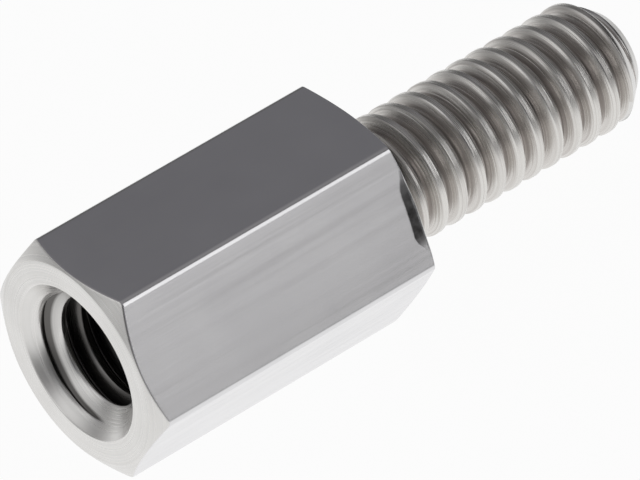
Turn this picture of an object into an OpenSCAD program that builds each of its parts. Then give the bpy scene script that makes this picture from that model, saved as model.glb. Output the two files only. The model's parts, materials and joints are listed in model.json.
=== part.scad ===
// Male-female hexagonal standoff, turned from one length of drawn hexagonal bar.
// It lies on one flat. The thread axis is X: the stud points to +X, the threaded hole opens to -X,
// and the origin is on the axis in the plane of the shoulder.

/* [Hexagonal body] */
// Width across the flats
hex_af = 4; // [3.6:0.1:8]
// Length between the two end faces
body_l = 6.3; // [6:0.1:30]
// Rounding along the ridges of the drawn bar
ridge_r = 0.13; // [0.02:0.01:0.3]
// Distance from each flat to the flat ring left on an end face by the turned chamfer
face_inset = 0.04; // [0.01:0.01:0.2]
// Angle between the chamfer at the female end and the end face
chamfer_deg = 30; // [15:1:45]
// Angle between the flatter chamfer at the shoulder and the shoulder
shoulder_deg = 17; // [5:1:45]

/* [Threaded stud] */
// Length from the shoulder to the tip
stud_l = 6; // [2:0.1:20]
// Outside diameter over the thread crests
stud_d = 2.46; // [2.2:0.02:2.8]
// Pitch of the thread
pitch = 0.45; // [0.35:0.05:0.6]
// Diameter of the flat at the tip
tip_d = 1.64; // [1.2:0.02:2.2]
// Angle between the tip chamfer and the axis
tip_deg = 40; // [30:1:60]
// Shortest plain length between the shoulder and the first groove
runout_l = 0.1; // [0.05:0.05:0.5]

/* [Threaded hole] */
// Diameter of the hole before it is tapped
hole_d = 2.05; // [1.6:0.05:2.4]
// Depth of the hole from the end face to the start of the drill point, less where the neck limits it
hole_l = 5.7; // [2:0.1:25]
// Least wall between the drill point and the first groove of the stud
neck_w = 0.7; // [0.3:0.05:1.1]
// Diameter of the countersink in the end face
sink_d = 3.05; // [2.5:0.05:3.8]
// Full angle of the countersink
sink_deg = 90; // [60:5:120]
// Full angle of the drill point
drill_deg = 118; // [90:1:140]

/* [Hidden] */
// Share of the pitch that is flat on a crest, and in a root
crest_share = 0.125;
root_share = 0.25;
// Share by which a ridge's arc is let out, so that it meets the flats at a clean edge
seam_share = 0.005;
// Angle between a thread flank and a plane across the axis
flank_deg = 30;
// Length by which a cutting shape runs past the face that it opens
overrun = 0.5;
// Facets on round surfaces
$fn = 96;

HEX_SIDES = 6;

flat_r = hex_af / 2;
corner_r = flat_r / cos(180 / HEX_SIDES);
face_r = flat_r - face_inset;
chamfer_l = (corner_r - face_r) * tan(chamfer_deg);
shoulder_chamfer_l = (corner_r - face_r) * tan(shoulder_deg);

stud_r = stud_d / 2;
tip_r = tip_d / 2;
tip_l = (stud_r - tip_r) / tan(tip_deg);
crest_w = pitch * crest_share;
root_w = pitch * root_share;
flank_w = (pitch - crest_w - root_w) / 2;
root_r = stud_r - flank_w / tan(flank_deg);
thread_end = stud_l - tip_l;
groove_count = floor((thread_end - runout_l) / pitch);
thread_start = thread_end - groove_count * pitch;

hole_r = hole_d / 2;
sink_r = sink_d / 2;
sink_l = (sink_r - hole_r) / tan(sink_deg / 2);
drill_l = hole_r / tan(drill_deg / 2);
neck_z = thread_start + flank_w;
drill_tip = neck_z - (neck_w - root_r * cos(drill_deg / 2)) / sin(drill_deg / 2);
hole_end = min(hole_l, body_l + drill_tip - drill_l);

// Turns a shape made along Z so that it lies along X.
module along_x() {
    rotate([0, 90, 0])
        children();
}

// Section of the bar: a hexagon with one flat down, each sharp corner cut back to an arc.
module bar_section() {
    half_deg = 180 / HEX_SIDES;
    arc_centre = corner_r - ridge_r / cos(half_deg);
    arc_start = arc_centre + ridge_r * cos(half_deg);
    difference() {
        rotate(half_deg)
            circle(r = corner_r, $fn = HEX_SIDES);
        for (side = [0:HEX_SIDES - 1])
            rotate(half_deg + side * 360 / HEX_SIDES)
                difference() {
                    translate([arc_start, -ridge_r])
                        square([ridge_r, 2 * ridge_r]);
                    translate([arc_centre, 0])
                        circle(r = ridge_r * (1 + seam_share));
                }
    }
}

// The bar between two turned ends: a cylinder round the corners that narrows to the flat ring at each end.
module turned_envelope() {
    rotate_extrude()
        polygon([
            [0, 0],
            [face_r, 0],
            [corner_r, chamfer_l],
            [corner_r, body_l - shoulder_chamfer_l],
            [face_r, body_l],
            [0, body_l]
        ]);
}

// Chamfered hexagonal body, from the female end at z = 0 to the shoulder.
module hex_body() {
    intersection() {
        linear_extrude(height = body_l)
            bar_section();
        turned_envelope();
    }
}

// Countersunk blind hole with its drill point, from the end face at z = 0 inwards.
module blind_hole() {
    rotate_extrude()
        polygon([
            [0, -overrun],
            [sink_r + overrun * tan(sink_deg / 2), -overrun],
            [hole_r, sink_l],
            [hole_r, hole_end],
            [0, hole_end + drill_l]
        ]);
}

// Stud from the shoulder at z = 0 to the chamfered tip. Its grooves are rings with the section and pitch of
// the 60 degree thread, without the rise of the helix. It starts inside the body, so that both are one piece.
module threaded_stud() {
    rotate_extrude()
        polygon([
            [0, -chamfer_l],
            [stud_r, -chamfer_l],
            for (groove = [0:groove_count - 1])
                let (z = thread_start + groove * pitch)
                    each [
                        [stud_r, z],
                        [root_r, z + flank_w],
                        [root_r, z + flank_w + root_w],
                        [stud_r, z + flank_w + root_w + flank_w]
                    ],
            [stud_r, thread_end],
            [tip_r, stud_l],
            [0, stud_l]
        ]);
}

module standoff() {
    color("silver")
        along_x()
            translate([0, 0, -body_l])
                difference() {
                    union() {
                        hex_body();
                        translate([0, 0, body_l])
                            threaded_stud();
                    }
                    blind_hole();
                }
}

standoff();
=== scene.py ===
# %% [markdown]
# A hexagonal standoff, dressed for a studio picture. The real thing is one turned part: a length of
# drawn hexagonal bar with a threaded stud cut on one end, a countersunk and tapped hole in the other,
# and a bright nickel plate over everything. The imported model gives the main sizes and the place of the
# axis, so this lesson only adds what a lathe, a die and a plating bath leave behind: true helical
# threads, softened edges and the fine marks of each tool.

# %% Load the frame
import json
import math

import bpy
import numpy as np
from mathutils import Matrix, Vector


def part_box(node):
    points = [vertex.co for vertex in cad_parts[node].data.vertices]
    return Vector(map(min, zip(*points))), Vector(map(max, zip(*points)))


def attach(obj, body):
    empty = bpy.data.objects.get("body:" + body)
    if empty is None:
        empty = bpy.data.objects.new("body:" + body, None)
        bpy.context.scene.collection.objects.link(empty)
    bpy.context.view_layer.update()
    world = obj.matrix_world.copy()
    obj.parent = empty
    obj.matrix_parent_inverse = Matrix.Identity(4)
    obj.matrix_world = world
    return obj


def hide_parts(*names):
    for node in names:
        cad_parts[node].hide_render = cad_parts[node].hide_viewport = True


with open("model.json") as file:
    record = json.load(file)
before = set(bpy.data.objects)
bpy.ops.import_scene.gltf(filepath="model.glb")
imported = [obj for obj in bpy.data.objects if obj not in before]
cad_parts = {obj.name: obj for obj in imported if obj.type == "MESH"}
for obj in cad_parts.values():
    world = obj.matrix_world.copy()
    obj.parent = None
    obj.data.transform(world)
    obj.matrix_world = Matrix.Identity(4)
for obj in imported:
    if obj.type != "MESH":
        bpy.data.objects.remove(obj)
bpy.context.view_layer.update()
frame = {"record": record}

# %% [markdown]
# Sizes first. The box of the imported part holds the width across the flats, the reach of the rounded
# ridges and both ends. The mounts hold the two thread radii. Only what the box can't show is written as
# a number.

# %% Sizes from the frame
MM = 0.001
low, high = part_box("standoff")
mounts = {mount["name"]: mount for mount in frame["record"]["mounts"]}

end_x = low.x
tip_x = high.x
flat_r = high.z
HALF_SIDE = math.radians(30)
sharp_r = flat_r / math.cos(HALF_SIDE)
ridge_r = (sharp_r - high.y) / (1 / math.cos(HALF_SIDE) - 1)
stud_r = mounts["stud"]["dims"]["r_mm"] * MM
thread_end_x = mounts["stud"]["dims"]["length_mm"] * MM
hole_r = mounts["threaded_hole"]["dims"]["r_mm"] * MM
FACE_INSET = 0.04 * MM
face_r = flat_r - FACE_INSET
sink_r = 1.525 * MM
pitch = 0.45 * MM
tip_l = tip_x - thread_end_x
print("ridge rounding", round(ridge_r / MM, 3), "mm, tip chamfer", round(tip_l / MM, 3), "mm")

# %% [markdown]
# The camera stands about where the photographer's did, taken as 150 mm from the part with a long lens,
# above the female end and a little to the front. Three angles give the direction, and two small offsets
# centre the picture. Building the camera's matrix from its own three axes keeps the roll exact.

# %% Camera
PICTURE_W = 640
FOCAL_PX = 8580.0
DISTANCE, TO_LEFT, DOWN = 150.0, 0.581, 0.672
around, above, roll = (math.radians(a) for a in (61.35, 48.00, -2.32))
forward, upward = math.sin(around) * math.cos(above), math.sin(around) * math.sin(above)
towards = np.array([-math.cos(around), -forward, upward])
level_right = np.cross([0, 0, 1], towards)
level_right /= np.linalg.norm(level_right)
level_up = np.cross(towards, level_right)
right = math.cos(roll) * level_right + math.sin(roll) * level_up
up = -math.sin(roll) * level_right + math.cos(roll) * level_up
stand = (DISTANCE * towards - TO_LEFT * right - DOWN * up) * MM

lens = bpy.data.cameras.new("studio_camera")
lens.sensor_width = 36.0
lens.lens = FOCAL_PX / PICTURE_W * lens.sensor_width
lens.clip_start = 0.005
camera = bpy.data.objects.new("studio_camera", lens)
pose = np.eye(4)
pose[:3, 0], pose[:3, 1], pose[:3, 2], pose[:3, 3] = right, up, towards, stand
camera.matrix_world = Matrix(pose.tolist())
bpy.context.scene.collection.objects.link(camera)
bpy.context.scene.camera = camera
print("camera at", np.round(stand / MM, 2).tolist(), "mm, lens", round(lens.lens, 1), "mm")

# %% [markdown]
# Every surface of the part goes round one axis, so the whole skin can be one grid: columns are angles
# round the axis, rows follow the outline from the tip of the stud, over the shoulder and the body, into
# the hole and down to the drill point. The hexagon is then only a radius that changes with the angle.
# The columns crowd together at the six ridges, where the drawn bar is rounded, and stand wide apart on
# the flats.

# %% Columns round the axis
arc_centre = sharp_r - ridge_r / math.cos(HALF_SIDE)
arc_end = arc_centre + ridge_r * math.cos(HALF_SIDE)
arc_deg = math.degrees(math.atan2(ridge_r * math.sin(HALF_SIDE), arc_end))
near_ridge = np.array([0, 0.35, 0.7, 1.0, 1.15, 1.5]) * arc_deg
on_flat = near_ridge[-1] + (30 - near_ridge[-1]) * np.linspace(0, 1, 10)[1:-1] ** 1.2
half_sector = np.concatenate([near_ridge, on_flat])
sector = np.concatenate([half_sector, [30.0], 60 - half_sector[:0:-1]])
angle = np.radians(np.concatenate([sector + 60 * side for side in range(6)]))
columns = len(angle)


def hexagon_radius(theta):
    """Radius of the drawn bar at an angle: an arc of ridge_r about a centre on the corner's ray, and then the
    straight flat."""
    off_ridge = HALF_SIDE - np.abs(HALF_SIDE - np.mod(theta, 2 * HALF_SIDE))
    on_arc = off_ridge <= np.radians(arc_deg)
    across = arc_centre * np.sin(np.where(on_arc, off_ridge, 0))
    arc = arc_centre * np.cos(off_ridge) + np.sqrt(ridge_r**2 - across**2)
    return np.where(on_arc, arc, flat_r / np.cos(HALF_SIDE - off_ridge))


bar_r = hexagon_radius(angle)
print(columns, "columns, bar radius", round(bar_r.min() / MM, 4), "to", round(bar_r.max() / MM, 4), "mm")

# %% [markdown]
# No edge of a plated part is a knife edge. Rather than a bevel modifier, which would also soften the
# threads, each corner of the outline is replaced by a small parabola while the rows are laid out, with
# one more row just beside it so that the neighbouring faces stay optically flat.


# %% Softened outline
ROWS_AT_CORNER = 7


def rounded_outline(corners, reach):
    """Rows along a broken line of corners, each given as (x, radius) for all columns. At every inner corner a
    quadratic curve runs from a point reach before it to a point reach after it, along the two sides. With a
    row beside it on each side, a corner takes ROWS_AT_CORNER rows."""
    rows = [corners[0]]
    for before, here, after, length in zip(corners, corners[1:], corners[2:], reach):
        sides = []
        for other in (before, after):
            way = other - here
            size = np.linalg.norm(way, axis=0)
            sides.append((way / size, np.minimum(length, 0.3 * size), np.minimum(1.6 * length, 0.45 * size)))
        (back, back_near, back_far), (on, on_near, on_far) = sides
        start, stop = here + back * back_near, here + on * on_near
        rows.append(here + back * back_far)
        for t in (0, 0.25, 0.5, 0.75, 1):
            rows.append((1 - t) ** 2 * start + 2 * t * (1 - t) * here + t * t * stop)
        rows.append(here + on * on_far)
    rows.append(corners[-1])
    return np.array(rows)


def ring(x, radius):
    """One corner of the outline as a pair of arrays over the columns."""
    return np.array([np.broadcast_to(x, columns), np.broadcast_to(radius, columns)], float)


# %% [markdown]
# The threads. A die cuts a groove that climbs one pitch a turn. Its height depends on one number only,
# the phase: how far along the pitch a point lies, less the share of a turn it has gone round. The crest
# is a narrow flat, the flanks stand 30 degrees off a plane across the axis, and small arcs ease the
# crest's edges and fill the root.


# %% Thread form
def thread_height(phase, crest_flat, crest_round, root_round):
    """Height above the root for a phase, in metres, and the full depth. From the middle of a crest outwards:
    half the flat, an arc of crest_round, a straight flank at 60 degrees to the axis, an arc of root_round."""
    lean = math.sqrt(3) / 2
    half = (pitch - crest_flat) / 2
    flank = half - lean * (crest_round + root_round)
    depth = (crest_round + root_round) / 2 + flank * math.sqrt(3)
    off = np.clip(np.abs(np.mod(phase, 1) - 0.5) * pitch - crest_flat / 2, 0, half)
    crest = depth - crest_round + np.sqrt(np.maximum(crest_round**2 - off**2, 0))
    side = depth - crest_round / 2 - (off - lean * crest_round) * math.sqrt(3)
    root = root_round - np.sqrt(np.maximum(root_round**2 - (half - off) ** 2, 0))
    height = np.where(off < lean * crest_round, crest, np.where(half - off < lean * root_round, root, side))
    return height, depth


# %% [markdown]
# A crest is too narrow for rows that cross it at a slant. So in the threads the rows climb with the
# helix: each keeps one phase, and after a whole turn it goes on as the row one pitch further along. At
# both ends of a thread the rows are cut off square.

# %% Climbing rows
turn = angle / (2 * math.pi)


def marks_about_crest(*shares):
    """Shares of the pitch at which a row runs: the crest's middle and each given share on both sides."""
    both_sides = 0.5 + np.outer([-1, 1], (0.0, *shares, 0.5))
    return np.unique(np.round(np.mod(both_sides, 1), 6))


def climbing_rows(start_x, stop_x, shift, marks):
    """The x of every row for all columns. A row's phase is a whole number plus one of the marks, and x is the
    pitch times that phase less the shift plus the share of a turn gone round, kept between the two ends."""
    first = math.floor(start_x / pitch + shift) - 1
    last = math.ceil(stop_x / pitch + shift) + 1
    phases = np.append((np.arange(first, last)[:, None] + marks).ravel(), last)
    return np.clip(pitch * (phases[:, None] - shift + turn), start_x, stop_x)


def smooth_least(a, b, blend):
    """The smaller of two values, with the corner between them eased over a length of blend."""
    share = np.clip(0.5 + 0.5 * (b - a) / blend, 0, 1)
    return b + (a - b) * share - blend * share * (1 - share)


def smooth_step(value, start, stop):
    """0 before start, 1 after stop, and a smooth rise between."""
    t = np.clip((value - start) / (stop - start), 0, 1)
    return t * t * (3 - 2 * t)


# %% [markdown]
# The stud. Its radius is the thread's, cut off by the tip chamfer and relieved beside the shoulder where
# the tool runs out.

# %% Stud
STUD_PHASE = 0.60
NECK = 0.35 * MM
TIP_DEG = 40
TIP_STEP = 0.12 * MM
tip_slope = math.tan(math.radians(TIP_DEG))
tip_r = stud_r - tip_l * tip_slope
tip_rows = rounded_outline(
    [ring(tip_x, 0.3 * tip_r), ring(tip_x, tip_r), ring(tip_x - TIP_STEP, tip_r + TIP_STEP * tip_slope)],
    [0.03 * MM],
)
STUD_MARKS = marks_about_crest(0.06, 0.105, 0.125, 0.145, 0.24, 0.34, 0.442, 0.472)
stud_x = climbing_rows(0.05 * MM, tip_x - 0.14 * MM, STUD_PHASE, STUD_MARKS)[::-1]
stud_form = (0.095 * MM, 0.022 * MM, 0.03 * MM)
height, stud_depth = thread_height(stud_x / pitch - turn + STUD_PHASE, *stud_form)
cut = stud_r - stud_depth + height
relief = stud_r - stud_depth + 1.2 * np.maximum(stud_x - NECK, 0)
chamfer = tip_r + (tip_x - stud_x) * tip_slope
stud_rows = np.stack([stud_x, smooth_least(smooth_least(cut, relief, 0.06 * MM), chamfer, 0.04 * MM)], axis=1)
print("stud rows", len(stud_rows), "thread depth", round(stud_depth / MM, 3), "mm")

# %% [markdown]
# The body. Both ends are faced and chamfered on the lathe, the female end at 30 degrees and the shoulder
# at 17. Where such a cone meets a flat, the edge is a curve that comes closest to the end in the middle
# of the flat. One flat has a mark at the shoulder, where its edge was rolled over: a shallow facet,
# longest low on the flat.

# %% Body
CHAMFER_DEG, SHOULDER_DEG = 30, 17
FRONT_FLAT = math.radians(150)
chamfer_x = (bar_r - face_r) * math.tan(math.radians(CHAMFER_DEG))
shoulder_x = (bar_r - face_r) * math.tan(math.radians(SHOULDER_DEG))
up_flat = bar_r * np.sin(FRONT_FLAT - angle)
on_front = np.cos(FRONT_FLAT - angle) > 0.8
rolled = on_front * smooth_step(up_flat, -0.90 * MM, -0.50 * MM)
rolled = rolled * (1 - smooth_step(up_flat, 0.30 * MM, 0.75 * MM))
roll_x = shoulder_x + 0.04 * MM + rolled * (0.19 * MM - 0.055 * up_flat)
rolled_r = bar_r - 0.02 * MM * rolled
# Share of the painted dark reflection on the rolled edge, weaker higher up the flat.
edge_shade_share = rolled * (1 - 0.5 * smooth_step(up_flat, 0, 0.55 * MM))
base_r = stud_rows[-1, 1]
body_rows = rounded_outline(
    [
        np.stack([stud_rows[-1, 0] - 0.01 * MM, base_r]),
        ring(0, base_r + 0.01 * MM),
        ring(0, face_r),
        ring(-shoulder_x, rolled_r),
        ring(-roll_x, bar_r),
        ring(end_x + chamfer_x, bar_r),
        ring(end_x, face_r),
        ring(end_x, sink_r),
        ring(end_x + 0.12 * MM, sink_r - 0.12 * MM),
    ],
    [0.03 * MM, 0.02 * MM, 0.035 * MM, 0.02 * MM, 0.03 * MM, 0.02 * MM, 0.03 * MM],
)
print("body rows", len(body_rows))

# %% [markdown]
# The hole. The countersink is a 90 degree cone that breaks the first turn of the tapped thread, so the
# deeper of the two surfaces wins. Below the last turn the drilled hole is plain, and it ends in the
# drill's own cone.

# %% Hole
HOLE_PHASE = 0.21
HOLE_DEPTH = 5.7 * MM
TAPPED_DEPTH = 5.0 * MM
DRILL_DEG = 118
drill_x = end_x + HOLE_DEPTH
drill_slope = math.tan(math.radians(DRILL_DEG / 2))
drill_tip_x = drill_x + hole_r / drill_slope
HOLE_MARKS = marks_about_crest(0.078, 0.107, 0.135, 0.29, 0.442, 0.472)
into = climbing_rows(end_x + 0.14 * MM, end_x + 5.6 * MM, HOLE_PHASE, HOLE_MARKS) - end_x
hole_form = (0.07 * MM, 0.03 * MM, 0.03 * MM)
height, hole_depth = thread_height((end_x + into) / pitch - turn + HOLE_PHASE, *hole_form)
tapped = hole_r + (hole_depth - height) * (1 - smooth_step(into, TAPPED_DEPTH - pitch, TAPPED_DEPTH))
sunk = -smooth_least(-tapped, -(sink_r - into), 0.03 * MM)
hole_rows = np.stack([end_x + into, sunk], axis=1)
POINT_STEP = 0.05 * MM
drill_point = ring(drill_tip_x - POINT_STEP, POINT_STEP * drill_slope)
drill_rows = rounded_outline(
    [ring(drill_x - 0.08 * MM, hole_r), ring(drill_x, hole_r), drill_point],
    [0.03 * MM],
)
print("hole rows", len(hole_rows), "tapped root radius", round((hole_r + hole_depth) / MM, 3), "mm")

# %% [markdown]
# All rows together make one closed skin of quads. Where a row of a thread reaches the end of its thread,
# its points there are the end's own points, so the quads beside them become triangles or vanish. The two
# ends of the outline lie on the axis, and each is closed with a fan of triangles about one point.

# %% Skin
parts = {"tip": tip_rows, "stud": stud_rows, "body": body_rows, "hole": hole_rows, "drill": drill_rows}
climb = {"stud": -len(STUD_MARKS), "hole": len(HOLE_MARKS)}
outline = np.concatenate(list(parts.values()))
x, radius = outline[:, 0], outline[:, 1]
row_count = len(outline)
stops = np.cumsum([len(rows) for rows in parts.values()])
rows_of = {name: slice(stop - len(rows), stop) for (name, rows), stop in zip(parts.items(), stops)}
grid = np.stack([x, radius * np.cos(angle), radius * np.sin(angle)], axis=-1)
points = np.concatenate([grid.reshape(-1, 3), [[tip_x, 0, 0], [drill_tip_x, 0, 0]]])

index = np.arange(row_count * columns).reshape(row_count, columns)
beside_row = np.arange(row_count - 1)
for name, step in climb.items():
    rows = rows_of[name]
    for end in (rows.start, rows.stop - 1):
        index[rows] = np.where(x[rows] == x[end], index[end], index[rows])
    inner = np.arange(rows.start, rows.stop - 1)
    beside_row[inner] = np.clip(inner + step, rows.start, rows.stop - 2)

a, b = index[:-1], index[1:]
d = np.concatenate([a[:, 1:], index[beside_row, :1]], axis=1)
c = np.concatenate([b[:, 1:], index[beside_row + 1, :1]], axis=1)
whole, left_shut, right_shut = (a != b) & (c != d), (a == b) & (c != d), (a != b) & (c == d)
quads = np.stack([a, b, c, d], axis=-1)[whole]
left_triangles = np.stack([a, c, d], axis=-1)[left_shut]
right_triangles = np.stack([a, b, c], axis=-1)[right_shut]
pole = np.full(columns, row_count * columns)
tip_fan = np.stack([pole, index[0], np.roll(index[0], -1)], axis=-1)
drill_fan = np.stack([pole + 1, np.roll(index[-1], -1), index[-1]], axis=-1)
triangles = np.concatenate([left_triangles, right_triangles, tip_fan, drill_fan])

used, renumbered = np.unique(np.concatenate([quads.ravel(), triangles.ravel()]), return_inverse=True)
quads, triangles = renumbered[: quads.size].reshape(-1, 4), renumbered[quads.size :].reshape(-1, 3)
points = points[used]
skin = bpy.data.meshes.new("standoff_skin")
skin.from_pydata(points.tolist(), [], quads.tolist() + triangles.tolist())
skin.polygons.foreach_set("use_smooth", np.ones(len(skin.polygons), bool))
standoff = bpy.data.objects.new("standoff_skin", skin)
bpy.context.scene.collection.objects.link(standoff)
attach(standoff, "root")
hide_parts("standoff")
corner = points[np.concatenate([quads[:, :3], quads[:, [0, 2, 3]], triangles])]
volume = np.einsum("ij,ij->i", corner[:, 0], np.cross(corner[:, 1], corner[:, 2])).sum() / 6
print("skin:", len(corner), "triangles, volume", round(volume / MM**3, 2), "mm3 (positive faces outwards)")

# %% [markdown]
# Which tool made which surface: the flats are as drawn, the ends and the tip are turned, and the two
# threads are cut. Each finish is a material of its own on the same skin, chosen face by face. The
# countersink belongs to the hole's finish, which starts as bright as a turned face.

# %% Finishes by face
DRAWN, TURNED, CUT, TAPPED = 0, 1, 2, 3
finish = np.full((row_count, columns), TURNED)
finish[rows_of["stud"]] = np.where(chamfer < np.minimum(cut, relief), TURNED, CUT)
finish[rows_of["hole"]] = TAPPED
finish[rows_of["drill"]] = TAPPED
flat_start = rows_of["body"].start + 1 + 2 * ROWS_AT_CORNER + 3
finish[flat_start : flat_start + 2 * ROWS_AT_CORNER] = DRAWN
finish = finish[:-1]
fans = [np.full(columns, TURNED), np.full(columns, TAPPED)]
face_finish = np.concatenate([finish[whole], finish[left_shut], finish[right_shut], *fans])
skin.polygons.foreach_set("material_index", face_finish.astype(np.int32))
print("faces by finish:", np.bincount(face_finish).tolist())

# %% [markdown]
# The finishes need to know where they are. One share tells a crest from a root by the groove's depth,
# and on the stud it also rises in the neck beside the shoulder; it sets the painted shade in the roots
# and the neck. A second share grows with the depth into the hole and sets the painted shade there, and
# a third marks where the rolled edge gets its painted dark reflection. A vector holds the helix's phase
# as a point on a circle, so that a streak can follow the thread for all its turns with no seam, and the
# distance along the axis, so that it changes slowly from turn to turn.

# %% Thread attributes
groove = np.zeros((row_count, columns))
# Painted shade in the neck beside the shoulder, fading out along the stud.
neck_shade = 1 - smooth_step(stud_x, NECK, 0.75 * MM)
groove[rows_of["stud"]] = (np.clip((stud_r - radius[rows_of["stud"]]) / stud_depth, 0, 1) + neck_shade) / 2
groove[rows_of["hole"]] = np.clip((radius[rows_of["hole"]] - hole_r) / hole_depth, 0, 1)
# Painted shade in the hole: none on the countersink, growing with the depth and in the roots.
inside = np.zeros((row_count, columns))
shade_past_sink = smooth_step(tapped - (sink_r - into), -0.02 * MM, 0.03 * MM)
SHADE_FADE = 2.2 * MM
inside[rows_of["hole"]] = shade_past_sink * np.clip(into / SHADE_FADE + 0.6 * groove[rows_of["hole"]] ** 3, 0, 1)
inside[rows_of["drill"]] = 1
# Where the rolled edge gets its painted dark reflection.
edge = np.zeros((row_count, columns))
edge[flat_start + 3 : flat_start + ROWS_AT_CORNER] = edge_shade_share
phase = 2 * math.pi * (x / pitch - turn)
helix = np.stack([np.cos(phase), np.sin(phase), 0.3 * x / pitch], axis=-1).reshape(-1, 3)

for name, values in (("groove", groove), ("inside", inside), ("edge", edge)):
    skin.attributes.new(name, "FLOAT", "POINT").data.foreach_set("value", np.append(values, [0, 0])[used])
helix = np.concatenate([helix, np.zeros((2, 3))])[used]
skin.attributes.new("helix", "FLOAT_VECTOR", "POINT").data.foreach_set("vector", helix.ravel())
print("attributes:", [layer.name for layer in skin.attributes if not layer.is_internal])

# %% [markdown]
# The plate itself is the same bright nickel everywhere, a metal with a pale and faintly warm grey. What
# differs is the ground under it. The drawn flats keep faint lines along the bar from the die and a very
# slight cloudiness, and the rolled edge at the shoulder carries a painted dark reflection, broken up by a
# fine grain.


# %% Drawn flats
def add(tree, kind, inputs, **settings):
    """A new shader node. An input that is a socket is linked, and any other is the input's value."""
    node = tree.nodes.new("ShaderNode" + kind)
    for key, value in settings.items():
        setattr(node, key, value)
    for key, value in inputs.items():
        if isinstance(value, bpy.types.NodeSocket):
            tree.links.new(value, node.inputs[key])
        else:
            node.inputs[key].default_value = value
    return node


def nickel(name):
    """A material with a full metal shader, as its tree and the shader node."""
    material = bpy.data.materials.new(name)
    material.use_nodes = True
    skin.materials.append(material)
    shader = material.node_tree.nodes["Principled BSDF"]
    shader.inputs["Metallic"].default_value = 1.0
    return material.node_tree, shader


def shades(tree, factor, *stops):
    """A colour that goes through the stops, each given as a factor and the colour that is reached there."""
    ramp = add(tree, "ValToRGB", {"Fac": factor})
    elements = ramp.color_ramp.elements
    for position, _ in stops[2:]:
        elements.new(position)
    for element, (position, colour) in zip(elements, stops):
        element.position = position
        element.color = (*colour, 1)
    return ramp.outputs["Color"]


def scaled(tree, factor, low_value, high_value, start=0.3, stop=0.7):
    """A number that goes from one value to the other as the factor goes from start to stop."""
    reach = {"Value": factor, "From Min": start, "From Max": stop}
    return add(tree, "MapRange", reach | {"To Min": low_value, "To Max": high_value}).outputs["Result"]


tree, shader = nickel("drawn_nickel")
place = add(tree, "TexCoord", {}).outputs["Object"]
stretched = add(tree, "Mapping", {"Vector": place, "Scale": (150, 7000, 7000)}).outputs["Vector"]
lines = add(tree, "TexNoise", {"Vector": stretched, "Scale": 1.0, "Detail": 3.0}).outputs["Fac"]
clouds = add(tree, "TexNoise", {"Vector": place, "Scale": 800.0, "Detail": 2.0}).outputs["Fac"]
bright = shades(tree, clouds, (0.3, (0.705, 0.70, 0.712)), (0.7, (0.745, 0.74, 0.75)))
# The painted dark reflection on the rolled edge, broken up by a fine noise.
rolled_edge = add(tree, "Attribute", {}, attribute_name="edge").outputs["Fac"]
shade_mottle = add(tree, "TexNoise", {"Vector": place, "Scale": 9000.0, "Detail": 3.0}).outputs["Fac"]
edge_shade_amount = add(tree, "Math", {0: rolled_edge, 1: scaled(tree, shade_mottle, 0.8, 1.0)}, operation="MULTIPLY").outputs[0]
painted_dark_reflection = (0.10, 0.095, 0.095, 1)
colour = add(tree, "MixRGB", {"Fac": edge_shade_amount, "Color1": bright, "Color2": painted_dark_reflection}).outputs["Color"]
tree.links.new(colour, shader.inputs["Base Color"])
tree.links.new(scaled(tree, lines, 0.15, 0.24), shader.inputs["Roughness"])
bump = add(tree, "Bump", {"Height": lines, "Strength": 0.06, "Distance": 0.01 * MM})
tree.links.new(bump.outputs["Normal"], shader.inputs["Normal"])
print("drawn flats:", len(tree.nodes), "nodes")

# %% [markdown]
# A facing tool leaves fine rings about the axis. They depend on the distance from the axis alone, so the
# pattern is a noise along that one number. The turned faces scatter a little more light than the flats.

# %% Turned faces
tree, shader = nickel("turned_nickel")
place = add(tree, "TexCoord", {}).outputs["Object"]
across = add(tree, "Mapping", {"Vector": place, "Scale": (0, 1, 1)}).outputs["Vector"]
distance = add(tree, "VectorMath", {0: across}, operation="LENGTH").outputs["Value"]
ring_noise = {"W": distance, "Scale": 22000.0, "Detail": 3.0}
rings = add(tree, "TexNoise", ring_noise, noise_dimensions="1D").outputs["Fac"]
clouds = add(tree, "TexNoise", {"Vector": place, "Scale": 900.0, "Detail": 3.0}).outputs["Fac"]
colour = shades(tree, clouds, (0.3, (0.70, 0.69, 0.675)), (0.7, (0.76, 0.75, 0.735)))
tree.links.new(colour, shader.inputs["Base Color"])
tree.links.new(scaled(tree, rings, 0.24, 0.38), shader.inputs["Roughness"])
bump = add(tree, "Bump", {"Height": rings, "Strength": 0.15, "Distance": 0.01 * MM})
tree.links.new(bump.outputs["Normal"], shader.inputs["Normal"])
print("turned faces:", len(tree.nodes), "nodes")

# %% [markdown]
# The die drags along the thread, so its marks are streaks that follow the helix. The crests are bright.
# The roots are darker, partly from a duller, thinner plate and partly from painted shade. The neck by the
# shoulder is darkest, and that darkness is painted shade.

# %% Cut thread
tree, shader = nickel("thread_nickel")
follow = add(tree, "Attribute", {}, attribute_name="helix").outputs["Vector"]
groove_shade_fac = add(tree, "Attribute", {}, attribute_name="groove").outputs["Fac"]
streaks = add(tree, "TexNoise", {"Vector": follow, "Scale": 3.2, "Detail": 4.0}).outputs["Fac"]
# Darker down the flanks and into the roots, darkest in the neck: partly a duller plate, partly painted shade,
# varied by the streaks.
dullness_and_shade = add(tree, "Math", {0: groove_shade_fac, 1: scaled(tree, streaks, -0.12, 0.30)}, operation="ADD").outputs[0]
plate = ((0.05, (0.71, 0.695, 0.67)), (0.3, (0.60, 0.575, 0.55)))
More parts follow.
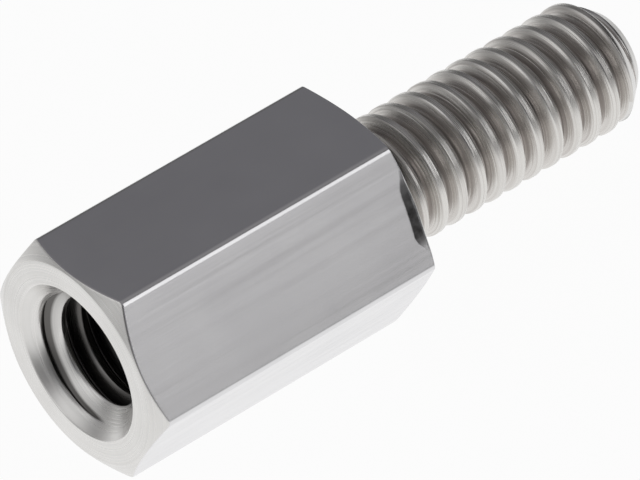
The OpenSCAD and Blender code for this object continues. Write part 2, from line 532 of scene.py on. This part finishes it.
# Darker stops for the roots and the neck: a duller plate and painted shade.
dull_plate_and_shade = ((0.5, (0.49, 0.46, 0.44)), (0.95, (0.10, 0.09, 0.08)))
colour = shades(tree, dullness_and_shade, *plate, *dull_plate_and_shade)
tree.links.new(colour, shader.inputs["Base Color"])
tree.links.new(scaled(tree, streaks, 0.18, 0.40), shader.inputs["Roughness"])
bump = add(tree, "Bump", {"Height": streaks, "Strength": 1.0, "Distance": 0.01 * MM})
tree.links.new(bump.outputs["Normal"], shader.inputs["Normal"])
print("cut thread:", len(tree.nodes), "nodes")

# %% [markdown]
# The first turns are as bright as the outside, and deeper down painted shade makes the thread steadily
# darker, the roots before the crests.

# %% Tapped hole
tree, shader = nickel("hole_nickel")
follow = add(tree, "Attribute", {}, attribute_name="helix").outputs["Vector"]
hole_shade_fac = add(tree, "Attribute", {}, attribute_name="inside").outputs["Fac"]
streaks = add(tree, "TexNoise", {"Vector": follow, "Scale": 5.0, "Detail": 4.0}).outputs["Fac"]
# Painted shade, darker deeper into the hole.
colour = shades(tree, hole_shade_fac, (0.20, (0.73, 0.72, 0.705)), (0.44, (0.13, 0.125, 0.12)))
tree.links.new(colour, shader.inputs["Base Color"])
tree.links.new(scaled(tree, streaks, 0.24, 0.40), shader.inputs["Roughness"])
bump = add(tree, "Bump", {"Height": streaks, "Strength": 0.2, "Distance": 0.01 * MM})
tree.links.new(bump.outputs["Normal"], shader.inputs["Normal"])
print("tapped hole:", len(tree.nodes), "nodes")

# %% [markdown]
# The part lies on a sheet of white paper that fills the picture. The paper glows for the camera, which
# keeps it white without more light on the part, and fully for reflections, because the polished metal
# should see the same white sheet. In reflections the sheet darkens away from the part, a painted falloff
# of light like that of paper under one soft light. What is left of its own matt colour takes the part's
# faint shadow.

# %% Floor
FLOOR_HALF = 0.3
GLOW_SHARE = 0.96
floor_mesh = bpy.data.meshes.new("floor")
sheet = [(s * FLOOR_HALF, t * FLOOR_HALF, low.z) for s, t in ((-1, -1), (1, -1), (1, 1), (-1, 1))]
floor_mesh.from_pydata(sheet, [], [(0, 1, 2, 3)])
floor = bpy.data.objects.new("floor", floor_mesh)
bpy.context.scene.collection.objects.link(floor)
paper = bpy.data.materials.new("white_paper")
paper.use_nodes = True
floor_mesh.materials.append(paper)
tree = paper.node_tree
tree.nodes.clear()
path = add(tree, "LightPath", {})
seen = add(tree, "Math", {0: path.outputs["Is Camera Ray"], 1: GLOW_SHARE}, operation="MULTIPLY")
bounced = {0: path.outputs["Is Glossy Ray"], 1: path.outputs["Is Transmission Ray"]}
mirrored = add(tree, "Math", bounced, operation="MAXIMUM")
share = add(tree, "Math", {0: seen.outputs[0], 1: mirrored.outputs[0]}, operation="MAXIMUM")
matt = add(tree, "BsdfDiffuse", {"Color": (0.9, 0.9, 0.9, 1)})
spot = add(tree, "TexCoord", {}).outputs["Object"]
spread = add(tree, "VectorMath", {0: spot}, operation="LENGTH").outputs["Value"]
# Painted light falloff on the sheet as seen in reflections, white near the part.
painted_falloff = shades(tree, spread, (0.008, (1.0, 1.0, 1.0)), (0.040, (0.42, 0.42, 0.42)))
whiter = {"Fac": path.outputs["Is Camera Ray"], "Color1": painted_falloff, "Color2": (1, 1, 1, 1)}
glow = add(tree, "Emission", {"Color": add(tree, "MixRGB", whiter).outputs["Color"]})
mix = add(tree, "MixShader", {"Fac": share.outputs[0], 1: matt.outputs[0], 2: glow.outputs[0]})
add(tree, "OutputMaterial", {"Surface": mix.outputs[0]})
print("floor", 2 * FLOOR_HALF, "m wide at z =", round(low.z / MM, 2), "mm")

# %% [markdown]
# Polished metal is a picture of the room, so the room is built first: pale at the level of the sheet,
# where the paper sweeps up, darker above, and paler again at the ceiling. That makes the top flat dark
# and leaves the front flat half lit. A pale screen on the left lights the countersink and the near
# chamfer. The open right side, the space behind the camera, the back of the room and a doorway at the
# back left are dark, and they draw the dark bands on the thread. One small soft lamp to the front right
# draws the thin line along the ridge and along each crest.

# %% Studio light
world = bpy.data.worlds.new("studio")
bpy.context.scene.world = world
world.use_nodes = True
tree = world.node_tree
tree.nodes.clear()
way = add(tree, "TexCoord", {}).outputs["Generated"]
rise = add(tree, "SeparateXYZ", {"Vector": way}).outputs["Z"]
sweep = ((0.0, (0.66, 0.66, 0.66)), (0.08, (0.54, 0.54, 0.54)), (0.18, (0.49, 0.485, 0.485)))
walls = ((0.36, (0.30, 0.295, 0.305)), (0.6, (0.178, 0.176, 0.188)), (0.7, (0.178, 0.176, 0.188)))
ceiling = (0.86, (0.28, 0.275, 0.28))
colour = shades(tree, rise, *sweep, *walls, ceiling)
# A patch has the direction of its middle, the cosines where it starts and is full, its share and its level.
patches = {
    "pale screen on the left": ((-0.80, 0.33, 0.50), 0.80, 0.97, 0.85, 1.0),
    "behind the camera": ((-0.60, -0.76, 0.25), 0.72, 0.95, 0.75, 0.05),
    "open side on the right": ((0.966, -0.208, 0.156), 0.60, 0.82, 0.95, 0.03),
    "doorway at the back left": ((-0.75, 0.65, 0.08), 0.86, 0.95, 0.55, 0.15),
    "back of the room": ((0.50, 0.86, 0.08), 0.80, 0.94, 0.95, 0.12),
}
for centre, start, stop, amount, level in patches.values():
    near = add(tree, "VectorMath", {0: way, 1: centre}, operation="DOT_PRODUCT").outputs["Value"]
    reach = {"Value": near, "From Min": start, "From Max": stop, "To Min": 0.0, "To Max": amount}
    reach = add(tree, "MapRange", reach, interpolation_type="SMOOTHSTEP").outputs["Result"]
    grey = (level, level, level, 1)
    colour = add(tree, "MixRGB", {"Fac": reach, "Color1": colour, "Color2": grey}).outputs["Color"]
room = add(tree, "Background", {"Color": colour})
white = add(tree, "Background", {"Color": (1, 1, 1, 1)})
camera_ray = add(tree, "LightPath", {}).outputs["Is Camera Ray"]
which = add(tree, "MixShader", {"Fac": camera_ray, 1: room.outputs[0], 2: white.outputs[0]})
add(tree, "OutputWorld", {"Surface": which.outputs[0]})

lamp = bpy.data.lights.new("front_lamp", "AREA")
lamp.shape = "RECTANGLE"
LAMP_AWAY = 0.4
lamp.size, lamp.size_y = 0.16, 0.28
lamp.energy = 0.15
front_lamp = bpy.data.objects.new("front_lamp", lamp)
bpy.context.scene.collection.objects.link(front_lamp)
back = np.array([0.48, -0.70, 0.528])
back /= np.linalg.norm(back)
side = np.cross([0, 0, 1], back)
side /= np.linalg.norm(side)
tilt = np.eye(4)
tilt[:3, 0], tilt[:3, 1], tilt[:3, 2], tilt[:3, 3] = side, np.cross(back, side), back, LAMP_AWAY * back
front_lamp.matrix_world = Matrix(tilt.tolist())
bpy.context.scene.view_settings.view_transform = "Standard"
print("lamp radiance", round(lamp.energy / (math.pi * lamp.size * lamp.size_y), 2))

# %% [markdown]
# Last, the scene is brought up to date.

# %% Update the scene
bpy.context.view_layer.update()
